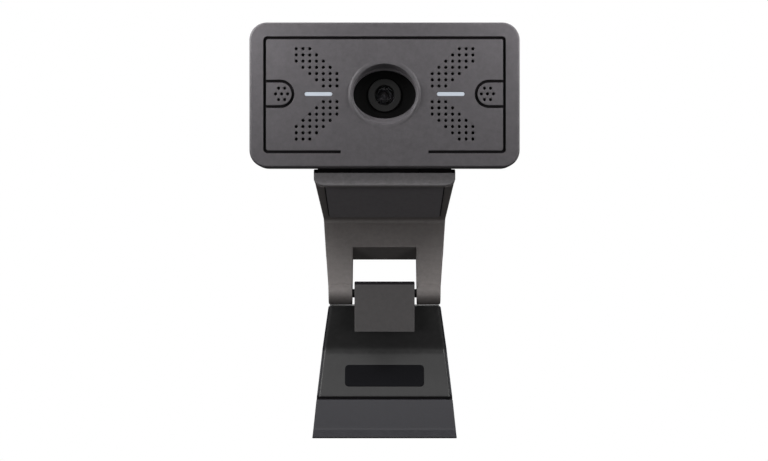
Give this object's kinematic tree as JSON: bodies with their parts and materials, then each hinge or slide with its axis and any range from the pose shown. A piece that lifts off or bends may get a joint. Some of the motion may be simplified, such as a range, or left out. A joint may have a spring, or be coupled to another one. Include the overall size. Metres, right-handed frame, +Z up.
{
  "type": "conference webcam on folding screen clip",
  "caption": "Rectangular webcam head with lens, sound-hole grilles and light bars, tilting on a folding clip with rubber pads that rests over a screen's top edge.",
  "frame": {"origin": "centre of the rubber rest pad's face, which sits on a screen's top edge, with the clip leaning back 30 degrees and the head upright", "axes": "+Z up, along the part's longest extent; -Y is the way the lens looks; +X runs across the head"},
  "size_m": [0.096, 0.0458, 0.1506],
  "materials": {
    "shell_plastic": "fine-grained satin",
    "dark_plastic": "matt",
    "pad_rubber": "matt",
    "rest_rubber": "matt",
    "lens_glass": "polished, coated",
    "filter_glass": "polished, coated",
    "light_plastic": "lit from behind",
    "led_white": "white board",
    "board_green": "coated circuit board",
    "chip_black": "moulded",
    "sensor_glass": "glossy",
    "steel": "plated",
    "brass": "turned",
    "cloth": "woven",
    "cone_paper": "matt",
    "mic_metal": "plated lid"
  },
  "bodies": {
    "clip_arm": {"arm_shell": "shell_plastic", "arm_back_cover": "shell_plastic", "arm_screws": "steel", "rest_pad": "rest_rubber", "tilt_pin": "steel", "leg_pin": "steel"},
    "head": {"front_cover": "shell_plastic", "rear_cover": "shell_plastic", "lens_hood": "dark_plastic", "lens_barrel": "dark_plastic", "front_lens": "lens_glass", "inner_lens": "lens_glass", "lens_mount": "dark_plastic", "ir_filter": "filter_glass", "image_sensor": "sensor_glass", "camera_board": "board_green", "main_board": "board_green", "image_processor": "chip_black", "shield_can": "steel", "board_connector": "chip_black", "usb_socket": "steel", "usb_contact_tongue": "chip_black", "left_light_guide": "light_plastic", "right_light_guide": "light_plastic", "left_led_board": "led_white", "right_led_board": "led_white", "left_grille_cloth": "cloth", "right_grille_cloth": "cloth", "left_speaker_gasket": "pad_rubber", "right_speaker_gasket": "pad_rubber", "left_speaker_basket": "dark_plastic", "right_speaker_basket": "dark_plastic", "left_speaker_cone": "cone_paper", "right_speaker_cone": "cone_paper", "left_mic_boot": "pad_rubber", "right_mic_boot": "pad_rubber", "left_microphone": "mic_metal", "right_microphone": "mic_metal", "cover_screws": "steel", "board_screws": "steel"},
    "leg": {"leg_shell": "shell_plastic", "leg_front_cover": "shell_plastic", "leg_pad": "pad_rubber", "leg_screws": "steel", "tripod_insert": "brass", "friction_sleeve": "steel", "hinge_washers": "dark_plastic"}
  },
  "joints": [
    {"name": "head_tilt", "type": "hinge", "parent": "clip_arm", "child": "head", "pos_m": [0, -0.00159, 0.00937], "axis": [1, 0, 0], "range_deg": [-45, 5]},
    {"name": "leg_fold", "type": "hinge", "parent": "clip_arm", "child": "leg", "pos_m": [0, 0.00241, -0.03413], "axis": [1, 0, 0], "range_deg": [-148, 55]}
  ]
}
